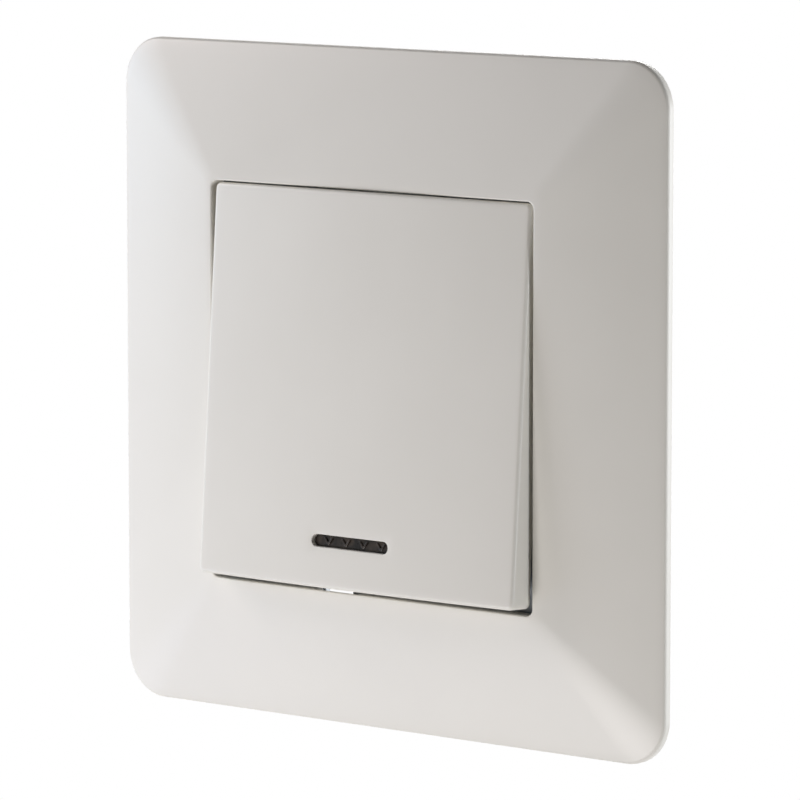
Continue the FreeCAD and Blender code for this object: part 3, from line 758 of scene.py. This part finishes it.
@dataclass
class CoverFrame:
    """The moulded frame round the push plate, with its convex face and snap legs."""

    side: float = 85.0
    corner: float = 5.8
    opening: float = 50.4
    opening_corner: float = 1.0
    edge_height: float = 1.1
    rim_height: float = 4.8
    crown: float = 0.35
    edge_round: float = 0.35
    rim_round: float = 0.25
    wall: float = 1.5
    lip_depth: float = 2.2
    lip_wall: float = 1.2
    # Distance of a leg's inner face from the middle, its thickness and its width.
    leg: tuple[float, float, float] = (25.4, 1.4, 5.0)
    leg_spread: float = 16.0
    leg_catch: float = -0.25
    leg_tip: float = -1.55
    leg_hook: float = 0.5
    leg_soften: float = 0.12
    back_break: float = 0.12
    notch_x: tuple[float, float] = (-9.0, -2.0)
    notch_slack: float = 0.05
    corner_steps: int = 24
    face_steps: int = 16
    round_steps: int = 5
    crease_deg: float = 40.0

    @property
    def band(self) -> float:
        """Width of the frame from its edge to the opening."""
        return (self.side - self.opening) / 2

    def height(self, inset: float) -> float:
        """Gives the height of the convex face.

        Args:
            inset: Distance inside the edge.

        Returns:
            Height over the wall.
        """
        share = inset / self.band
        rise = (self.rim_height - self.edge_height) * share
        return self.edge_height + rise * (1 + self.crown * (1 - share))

    def underside(self, inset: float) -> float:
        """Height of the hollow behind the face at a distance inside the edge."""
        return (self.rim_height - self.wall) * (inset - self.wall) / (self.band - self.wall)

    def profile(self) -> list[tuple[float, float]]:
        """Gives the frame's section, once round.

        Returns:
            Pairs of inset and height, from the back rim over the face and into the hollow.
        """
        points = [(self.back_break, 0.0), (0.0, self.back_break)]
        for run, drop in quarter(self.edge_round, self.round_steps):
            points.append((run, self.height(run) - drop))
        first = self.edge_round
        last = self.band - self.rim_round
        for step in range(1, self.face_steps):
            inset = first + (last - first) * step / self.face_steps
            points.append((inset, self.height(inset)))
        for run, drop in reversed(quarter(self.rim_round, self.round_steps)):
            inset = self.band - run
            points.append((inset, self.height(inset) - drop))
        lip_low = self.rim_height - self.lip_depth
        lip_out = self.band - self.lip_wall
        points += [(self.band, lip_low), (lip_out, lip_low), (lip_out, self.underside(lip_out))]
        hollow = (lip_out + self.wall) / 2
        points += [(hollow, self.underside(hollow)), (self.wall, 0.0)]
        return points

    def loop(self, bm: bmesh.types.BMesh, inset: float, level: float) -> Loop:
        """Adds an outline inside the edge, with corners that tighten towards the opening.

        Args:
            bm: The mesh in the making.
            inset: Distance inside the edge.
            level: Height of the loop.

        Returns:
            The loop's edges.
        """
        side = self.side - 2 * inset
        radius = self.corner + (self.opening_corner - self.corner) * inset / self.band
        return ring(bm, (side, side), radius, level, self.corner_steps)

    def lower_lip(self, bm: bmesh.types.BMesh) -> list[bmesh.types.BMFace]:
        """Finds the faces of the lip under the opening's lower side.

        Args:
            bm: The mesh in the making.

        Returns:
            Wall, foot and back of the lip.
        """
        inner = -self.opening / 2
        low = Vector((-self.opening, inner - self.lip_wall, self.rim_height - self.lip_depth))
        high = Vector((self.opening, inner, self.rim_height - self.rim_round))
        slack = self.notch_slack
        return [
            f
            for f in bm.faces
            if all(a - slack < c < b + slack for v in f.verts for a, c, b in zip(low, v.co, high))
        ]

    def cut_notch(self, bm: bmesh.types.BMesh) -> None:
        """Opens the lower lip where a screwdriver reaches the yoke's release slot.

        Args:
            bm: The mesh in the making.
        """
        start, end = self.notch_x
        for x in self.notch_x:
            faces = self.lower_lip(bm)
            edges = list({e for f in faces for e in f.edges})
            bmesh.ops.bisect_plane(
                bm,
                geom=[*faces, *edges],
                plane_co=(x, 0, 0),
                plane_no=(1, 0, 0),
                dist=CUT_SNAP_MM,
            )
        gone = [f for f in self.lower_lip(bm) if start < f.calc_center_median().x < end]
        bmesh.ops.delete(bm, geom=gone, context="FACES")
        rim = [e for e in bm.edges if e.is_boundary]
        across = [e for e in rim if run_along(e, 0) > (end - start) / 2]
        bmesh.ops.bridge_loops(bm, edges=across)
        bmesh.ops.holes_fill(bm, edges=[e for e in bm.edges if e.is_boundary], sides=4)

    def add_legs(self, bm: bmesh.types.BMesh) -> None:
        """Adds the four hooked legs that snap behind the yoke.

        Args:
            bm: The mesh in the making.
        """
        inner, thick, width = self.leg
        outer = inner + thick
        top = self.rim_height - self.wall / 2
        section = [
            (inner, top),
            (inner, self.leg_tip),
            (outer - self.leg_hook, self.leg_tip),
            (outer + self.leg_hook, self.leg_catch),
            (outer, self.leg_catch),
            (outer, top),
        ]
        for side in (-1, 1):
            for middle in (-self.leg_spread / 2, self.leg_spread / 2):
                outline = [(side * x, middle - width / 2, z) for x, z in section]
                prism(bm, outline, Vector((0, width, 0)), self.leg_soften)

    def build(self) -> bpy.types.Object:
        """Shapes the frame in one closed skin and adds its legs.

        Returns:
            The finished piece.
        """
        bm = bmesh.new()
        loops = [self.loop(bm, inset, level) for inset, level in self.profile()]
        skin(bm, [*loops, loops[0]])
        self.cut_notch(bm)
        self.add_legs(bm)
        label = Label(
            "cover_frame_moulding", ("cover_frame",), Carrier.INSERT, Slot.WHITE, WHITE_ABS
        )
        return cast(bm, label, STAND_UP, self.crease_deg)


@dataclass
class Tilt:
    """The rocking group's pose at rest, with its lower edge out."""

    rest_deg: float = 4.2
    pivot: float = 1.0

    def place(self) -> Matrix:
        """Gives the move from the level pose, lying down, to rest on the wall.

        Returns:
            The turn about the pivot, then the standing up.
        """
        pivot = Matrix.Translation((0, 0, self.pivot))
        turn = Matrix.Rotation(math.radians(-self.rest_deg), 4, "X")
        return STAND_UP @ pivot @ turn @ pivot.inverted()


@dataclass
class Rocker:
    """The large push plate with its crowned face, skirt, ribs and clips."""

    width: float = 49.5
    height: float = 49.26
    centre_y: float = 0.05
    corner: float = 0.8
    edge: float = 0.5
    wall: float = 1.3
    face_wall: float = 1.6
    peak: float = 7.3
    crown: float = 1.0
    skirt_middle: float = 3.005
    skirt_rise: float = 0.01228
    slot: tuple[float, float] = (11.9, 1.55)
    slot_y: float = -18.7
    slot_round: float = 0.12
    # Half the sides of the patch round the slot that the face's grid leaves open.
    patch: tuple[float, float] = (7.1, 2.1)
    foot_break: float = 0.15
    grid: int = 96
    corner_steps: int = 5
    edge_steps: int = 6
    slot_steps: int = 4
    # How far ribs and clips reach into the face.
    root: float = 0.2
    # Spacing of the ribs, their thickness and their length.
    rib: tuple[float, float, float] = (18.0, 1.2, 26.0)
    rib_foot: float = 4.6
    rib_soften: float = 0.1
    # Spacing of the clips across, their distance above and below the middle, and their width.
    clip: tuple[float, float, float] = (14.0, 11.0, 3.0)
    clip_thick: float = 1.2
    clip_hook: float = 0.6
    clip_catch: float = 2.5
    clip_tip: float = 1.7
    clip_soften: float = 0.08
    crease_deg: float = 40.0
    tilt: Tilt = field(default_factory=Tilt)

    # The skirt's edge is drawn at this level, far under the face, until both get their heights.
    SKIRT_MARK: ClassVar[float] = -100.0

    def fall(self, x: float) -> float:
        """How far the crowned face drops at a distance from the middle line."""
        radius = ((self.width / 2) ** 2 + self.crown**2) / (2 * self.crown)
        return radius - math.sqrt(radius**2 - x**2)

    def loop(self, bm: bmesh.types.BMesh, inset: float, level: float) -> Loop:
        """Adds the plate's outline at a distance inside its edge.

        Args:
            bm: The mesh in the making.
            inset: Distance inside the edge.
            level: Height against the crowned face, or near SKIRT_MARK for the skirt's edge.

        Returns:
            The loop's edges.
        """
        radius = max(self.corner - inset, self.corner - self.edge)
        size = (self.width - 2 * inset, self.height - 2 * inset)
        cuts = (self.grid - 1, self.grid - 1)
        return ring(bm, size, radius, level, self.corner_steps, cuts, (0.0, self.centre_y))

    def slot_loop(self, bm: bmesh.types.BMesh, grow: float, level: float) -> Loop:
        """Adds the lens slot's outline, grown on every side, at a height under the face."""
        size = (self.slot[0] + 2 * grow, self.slot[1] + 2 * grow)
        return round_ended(bm, size, level, self.slot_y)

    def near_slot(self, point: Vector, reach: float) -> bool:
        """Tells if a point lies in the patch round the slot, or within a multiple of it."""
        across, up = self.patch
        return abs(point.x) < reach * across and abs(point.y - self.slot_y) < reach * up

    def face(self, bm: bmesh.types.BMesh) -> tuple[Loop, Loop]:
        """Adds the face as an even grid with an open patch round the lens slot.

        Args:
            bm: The mesh in the making.

        Returns:
            The edges of its outline and of the open patch.
        """
        size = (self.width - 2 * self.edge, self.height - 2 * self.edge)
        verts = rectangle(bm, size, 0.0, (0.0, self.centre_y), self.grid)
        inside = [f for f in bm.faces if self.near_slot(f.calc_center_median(), 1)]
        bmesh.ops.delete(bm, geom=inside, context="FACES")
        corners = [v for v in verts if v.is_valid and len(v.link_edges) == 2]
        round_off(bm, corners, self.corner - self.edge, self.corner_steps, Rounded.CORNERS)
        rim = [e for e in bm.edges if e.is_boundary]
        near = [e for e in rim if all(self.near_slot(v.co, 2) for v in e.verts)]
        return [e for e in rim if e not in near], near

    def add_back(self, bm: bmesh.types.BMesh) -> None:
        """Adds the ribs and clips under the face, which sit on the cradle.

        Args:
            bm: The mesh in the making.
        """
        top = self.peak - self.face_wall + self.root
        spacing, thick, length = self.rib
        across, along, width = self.clip
        for side in (-1, 1):
            x = side * spacing / 2 - thick / 2
            foot = [(x, -length / 2, self.rib_foot), (x + thick, -length / 2, self.rib_foot)]
            head = [(x + thick, -length / 2, top), (x, -length / 2, top)]
            prism(bm, foot + head, Vector((0, length, 0)), self.rib_soften)
            for end in (-1, 1):
                inner = along - self.clip_thick / 2
                outer = along + self.clip_thick / 2
                section = [
                    (inner, top),
                    (inner, self.clip_tip),
                    (outer, self.clip_tip),
                    (outer + self.clip_hook, self.clip_catch),
                    (outer, self.clip_catch),
                    (outer, top),
                ]
                start = side * across / 2 - width / 2
                hook = [(start, end * y, z) for y, z in section]
                prism(bm, hook, Vector((width, 0, 0)), self.clip_soften)

    def build(self) -> bpy.types.Object:
        """Shapes the push plate: crowned face, rounded edge, skirt, hollow back and lens slot.

        Returns:
            The finished piece.
        """
        bm = bmesh.new()
        outline, patch = self.face(bm)
        edge_bend = quarter(self.edge, self.edge_steps)[:-1]
        rounding = [self.loop(bm, run, -drop) for run, drop in edge_bend]
        foot = self.SKIRT_MARK
        skirt = [self.loop(bm, 0.0, foot + self.foot_break), self.loop(bm, self.foot_break, foot)]
        hollow = [self.loop(bm, self.wall, foot), self.loop(bm, self.wall, -self.face_wall)]
        slot_bend = reversed(quarter(self.slot_round, self.slot_steps))
        lip = [self.slot_loop(bm, run, -drop) for run, drop in slot_bend]
        well = self.slot_loop(bm, 0.0, -self.face_wall)
        skin(bm, [patch, *lip, well, *reversed(hollow), *reversed(skirt), *rounding, outline])
        for vert in bm.verts:
            if vert.co.z < foot / 2:
                vert.co.z += self.skirt_middle + self.skirt_rise * vert.co.y - foot
            else:
                vert.co.z += self.peak - self.fall(vert.co.x)
        self.add_back(bm)
        label = Label("rocker_push_plate", ("rocker",), Carrier.ROCKER, Slot.WHITE, WHITE_ABS)
        return cast(bm, label, self.tilt.place(), self.crease_deg)


@dataclass
class IndicatorLens:
    """The smoked window in the push plate, with prisms that spread the lamp's light."""

    length: float = 11.8
    width: float = 1.45
    centre_y: float = -18.7
    front: float = 6.7
    flange: tuple[float, float] = (13.7, 3.35)
    flange_levels: tuple[float, float] = (4.7735, 5.5735)
    rounding: float = 0.12
    round_steps: int = 3
    prism_count: int = 4
    prism_pitch: float = 2.75
    prism_shift: float = 0.5
    prism_width: float = 1.5
    prism_rise: float = 0.9
    prism_line: float = 0.3
    prism_height: float = 0.2
    prism_soften: float = 0.07
    crease_deg: float = 30.0
    tilt: Tilt = field(default_factory=Tilt)

    def loop(self, bm: bmesh.types.BMesh, size: tuple[float, float], level: float) -> Loop:
        """Adds a round-ended outline, of a length and width, about the lens's centre."""
        return round_ended(bm, size, level, self.centre_y)

    def add_prism(self, bm: bmesh.types.BMesh, x: float) -> None:
        """Adds one raised V to the front.

        Args:
            bm: The mesh in the making.
            x: Its middle.
        """
        half = self.prism_width / 2
        line = self.prism_line
        top = self.prism_rise / 2
        corners = [
            (x - half, top),
            (x - half + line, top),
            (x, line - top),
            (x + half - line, top),
            (x + half, top),
            (x + line / 2, -top),
            (x - line / 2, -top),
        ]
        outline = [(cx, self.centre_y + cy, self.front - self.prism_height) for cx, cy in corners]
        prism(bm, outline, Vector((0, 0, 2 * self.prism_height)), self.prism_soften)

    def build(self) -> bpy.types.Object:
        """Shapes the window with its flange and its prisms.

        Returns:
            The finished piece.
        """
        bm = bmesh.new()
        low, high = self.flange_levels
        loops = [self.loop(bm, self.flange, low), self.loop(bm, self.flange, high)]
        loops.append(self.loop(bm, (self.length, self.width), high))
        for run, drop in quarter(self.rounding, self.round_steps):
            size = (self.length - 2 * run, self.width - 2 * run)
            loops.append(self.loop(bm, size, self.front - drop))
        skin(bm, loops)
        for cap in (loops[0], loops[-1]):
            bmesh.ops.edgeloop_fill(bm, edges=cap)
        for index in range(self.prism_count):
            from_middle = index - (self.prism_count - 1) / 2
            self.add_prism(bm, self.prism_shift + from_middle * self.prism_pitch)
        label = Label(
            "indicator_lens_window", ("lens",), Carrier.ROCKER, Slot.LENS, SMOKED_ACRYLIC
        )
        return cast(bm, label, self.tilt.place(), self.crease_deg)


@dataclass
class Insert:
    """The boxed insert behind the frame: yoke, housing, contacts, terminals and lamp."""

    soften: float = 0.1
    flat_deg: float = 0.5
    sharp_deg: float = 40.0
    crease_deg: float = 35.0
    flat_weight: int = 100
    softened: Mapping[str, tuple[Slot, Finish]] = field(
        default_factory=lambda: {
            "mounting_yoke": (Slot.STEEL, ZINC_STEEL),
            "switch_base": (Slot.HOUSING, GREY_NYLON),
            "switch_cover": (Slot.HOUSING, GREY_NYLON),
            "housing_screws": (Slot.STEEL, ZINC_STEEL),
            "terminal_screws": (Slot.STEEL, ZINC_STEEL),
        }
    )
    plain: Mapping[str, Finish] = field(
        default_factory=lambda: {
            "pivot_pin": ZINC_STEEL,
            "rocker_cradle": GREY_NYLON,
            "contact_carrier": GREY_NYLON,
            "contact_bridge": BRASS,
            "moving_contact_tips": SILVER,
            "fixed_contact_line": BRASS,
            "fixed_contact_load": BRASS,
            "fixed_contact_tips": SILVER,
            "terminal_block_line": BRASS,
            "terminal_block_load": BRASS,
            "terminal_block_neutral": BRASS,
            "lamp_holder": GREY_NYLON,
            "neon_lamp": CLEAR_GLASS,
            "lamp_leads": TIN,
            "lamp_pin_neutral": BRASS,
            "lamp_pin_load": BRASS,
            "ballast_resistor": TAN_LACQUER,
        }
    )

    def soften_node(self, node: str, slot: Slot, finish: Finish) -> bpy.types.Object:
        """Copies a solid, joins its loose triangles and rounds its sharp edges.

        Args:
            node: The solid's name.
            slot: Its material slot.
            finish: Its finish.

        Returns:
            The softened piece.
        """
        bm = merged_copy(node)
        limit = math.radians(self.flat_deg)
        bmesh.ops.dissolve_limit(bm, angle_limit=limit, verts=bm.verts, edges=bm.edges)
        label = Label(node + "_softened", (node,), Carrier.INSERT, slot, finish)
        piece = cast(bm, label, Matrix.Identity(4), self.crease_deg)
        bevel = piece.modifiers.new("edge_break", "BEVEL")
        bevel.width = self.soften * MM
        bevel.segments = SOFT_STEPS
        bevel.limit_method = "ANGLE"
        bevel.angle_limit = math.radians(self.sharp_deg)
        bevel.use_clamp_overlap = False
        flat = piece.modifiers.new("flat_faces", "WEIGHTED_NORMAL")
        flat.mode = "FACE_AREA"
        flat.weight = self.flat_weight
        return piece

    def build(self) -> None:
        """Softens the solids that show and gives every other one its finish."""
        for node, (slot, finish) in self.softened.items():
            self.soften_node(node, slot, finish)
        for node, finish in self.plain.items():
            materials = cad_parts[node].data.materials
            materials.clear()
            materials.append(finish.material())
            LOG.info("%s: %s", node, finish.name)


@dataclass
class ReturnSpring:
    """The coil behind the contact carrier, which shortens as the carrier is pushed in; here it is
    copied at one length.
    """

    node: str = "return_spring"
    slide: str = "contact_slide"
    stroke: float = 1.3
    crease_deg: float = 35.0

    def build(self) -> bpy.types.Object:
        """Copies the coil and gives it a mesh of its own.

        Returns:
            The coil, which stands on the base's floor.
        """
        label = Label(
            "return_spring_coil", (self.node,), Carrier.INSERT, Slot.STEEL, SPRING_STEEL
        )
        coil = cast(merged_copy(self.node), label, Matrix.Identity(4), self.crease_deg)
        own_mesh(coil)
        return coil


@dataclass(frozen=True)
class Softbox:
    """A soft lamp that faces the switch."""

    name: str
    azimuth_deg: float
    elevation_deg: float
    distance: float
    size: float
    power: float
    colour: str = "#FFFFFF"

    def direction(self) -> Vector:
        """Gives the way from the switch to the lamp.

        Returns:
            A unit vector, where azimuth 0 is in front and 90 is on the right.
        """
        across = math.radians(self.azimuth_deg)
        up = math.radians(self.elevation_deg)
        level = math.cos(up)
        return Vector((math.sin(across) * level, -math.cos(across) * level, math.sin(up)))

    def build(self) -> bpy.types.Object:
        """Sets up the lamp.

        Returns:
            The lamp's object.
        """
        light = bpy.data.lights.new(self.name, "AREA")
        light.shape = "DISK"
        light.size = self.size
        light.energy = self.power
        light.color = linear(self.colour)[:3]
        lamp = bpy.data.objects.new(self.name, light)
        lamp.location = self.direction() * self.distance
        lamp.rotation_euler = self.direction().to_track_quat("Z", "Y").to_euler()
        bpy.context.scene.collection.objects.link(lamp)
        return lamp


@dataclass
class Studio:
    """White room with soft lamps, a pale floor below and the camera, placed in metres."""

    camera_at: tuple[float, float, float] = (0.4250, -0.5404, 0.0868)
    camera_aim: tuple[float, float, float] = (0.0012, 0.0, -0.00107)
    lens_mm: float = 251.55
    sensor_mm: float = 36.0
    floor_level: float = -0.6
    floor_radius: float = 1.2
    floor_segments: int = 96
    ambient: float = 0.06
    backdrop: float = 1.0
    room_colour: str = "#FFFFFF"
    # Azimuth and elevation in degrees, distance and size in metres, power in watts, colour.
    lamps: Sequence[Softbox] = (
        Softbox("key_low", -15.0, -36.0, 0.32, 0.13, 0.575, "#FFFBFB"),
        Softbox("key_high_left", -62.0, 32.0, 0.32, 0.13, 0.389, "#FFF6F6"),
        Softbox("fill_left", -70.0, 10.0, 0.32, 0.13, 0.217, "#C7E3FF"),
        Softbox("fill_low_left", -56.0, -27.0, 0.32, 0.13, 0.123, "#CEDBFF"),
        Softbox("side_right", 94.0, -6.0, 0.8, 0.12, 2.09, "#F9FAFF"),
        Softbox("edge_right", 128.0, 0.0, 0.8, 0.3, 3.28, "#F7FAFF"),
        Softbox("fill_behind", 200.0, 25.0, 0.9, 0.5, 4.0),
    )

    def light_room(self) -> None:
        """Sets the world: an even soft light, which the camera and reflections see as white."""
        world = bpy.data.worlds.new("white_room")
        bpy.context.scene.world = world
        world.use_nodes = True
        tree = world.node_tree
        room = add_node(tree, "ShaderNodeMixShader", {}, {"Fac": looked_at(tree)})
        for socket, strength in ((1, self.ambient), (2, self.backdrop)):
            settings = {"Color": linear(self.room_colour), "Strength": strength}
            light = add_node(tree, "ShaderNodeBackground", settings, {})
            tree.links.new(light.outputs["Background"], room.inputs[socket])
        tree.links.new(room.outputs["Shader"], tree.nodes["World Output"].inputs["Surface"])

    def lay_floor(self) -> bpy.types.Object:
        """Lays the pale floor, which takes the switch's shadow.

        Returns:
            The floor's object.
        """
        bm = bmesh.new()
        place = Matrix.Translation((0, 0, self.floor_level))
        bmesh.ops.create_circle(
            bm,
            cap_ends=True,
            segments=self.floor_segments,
            radius=self.floor_radius,
            matrix=place,
        )
        mesh = bpy.data.meshes.new("studio_floor")
        bm.to_mesh(mesh)
        bm.free()
        mesh.materials.append(PALE_PAPER.material())
        floor = bpy.data.objects.new("studio_floor", mesh)
        bpy.context.scene.collection.objects.link(floor)
        return floor

    def set_camera(self) -> None:
        """Puts the camera where the photo was taken from."""
        data = bpy.data.cameras.new("photo_camera")
        data.lens = self.lens_mm
        data.sensor_width = self.sensor_mm
        camera = bpy.data.objects.new("photo_camera", data)
        camera.location = self.camera_at
        aim = Vector(self.camera_at) - Vector(self.camera_aim)
        camera.rotation_euler = aim.to_track_quat("Z", "Y").to_euler()
        bpy.context.scene.collection.objects.link(camera)
        bpy.context.scene.camera = camera

    def build(self) -> None:
        """Sets up the room, the floor, the lamps and the camera."""
        bpy.context.scene.view_settings.view_transform = "Standard"
        self.light_room()
        self.lay_floor()
        for lamp in self.lamps:
            lamp.build()
        self.set_camera()
        LOG.info("studio: %d lamps", len(self.lamps))


def main() -> None:
    """Builds the switch piece by piece, then the studio."""
    logging.basicConfig(level=logging.INFO)
    CoverFrame().build()
    Rocker().build()
    IndicatorLens().build()
    Insert().build()
    ReturnSpring().build()
    Studio().build()


if __name__ == "__main__":
    main()
